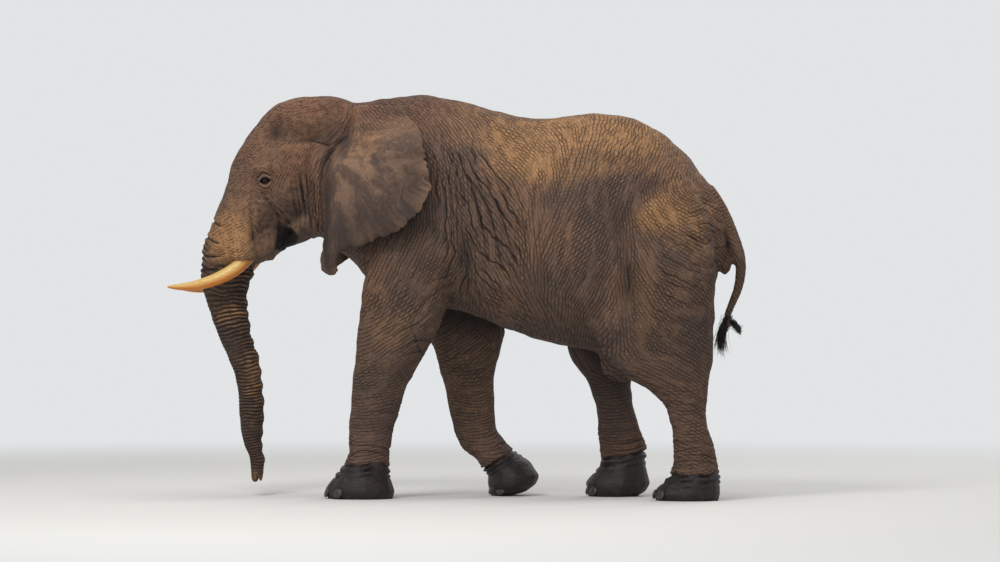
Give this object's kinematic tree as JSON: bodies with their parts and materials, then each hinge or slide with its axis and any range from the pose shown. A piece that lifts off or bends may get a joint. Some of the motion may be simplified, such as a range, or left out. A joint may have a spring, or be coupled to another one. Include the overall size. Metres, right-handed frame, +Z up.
{
  "type": "elephant",
  "caption": "Life-size still model of a walking adult male African savanna elephant with short forward-curving tusks and a hanging trunk.",
  "frame": {"origin": "on the floor, under the middle of the bounding box", "axes": "-X the way the animal walks, -Y its left side, +Z up"},
  "size_m": [4.5744, 1.557, 3.203],
  "materials": {
    "skin": "rough, folded grey-brown hide with ochre dust",
    "wet_skin": "the same hide, dark and wet above the soles",
    "nail": "dull horn",
    "ivory": "worn, stained ivory",
    "eye": "wet, dark brown",
    "bristle": "coarse black hair"
  },
  "bodies": {
    "root": {"ear_left": "skin", "ear_right": "skin", "eye_left": "eye", "eye_right": "eye", "forefoot_left": "wet_skin", "forefoot_right": "wet_skin", "head": "skin", "hindfoot_left": "wet_skin", "hindfoot_right": "wet_skin", "lower_foreleg_left": "skin", "lower_foreleg_right": "skin", "lower_jaw": "skin", "nail_fore_left_1": "nail", "nail_fore_left_2": "nail", "nail_fore_left_3": "nail", "nail_fore_left_4": "nail", "nail_fore_right_1": "nail", "nail_fore_right_2": "nail", "nail_fore_right_3": "nail", "nail_fore_right_4": "nail", "nail_hind_left_1": "nail", "nail_hind_left_2": "nail", "nail_hind_left_3": "nail", "nail_hind_right_1": "nail", "nail_hind_right_2": "nail", "nail_hind_right_3": "nail", "neck": "skin", "shank_left": "skin", "shank_right": "skin", "tail": "skin", "tail_tuft": "bristle", "thigh_left": "skin", "thigh_right": "skin", "torso": "skin", "trunk_middle": "skin", "trunk_tip": "skin", "trunk_upper": "skin", "tusk_left": "ivory", "tusk_right": "ivory", "upper_foreleg_left": "skin", "upper_foreleg_right": "skin"}
  },
  "joints": []
}
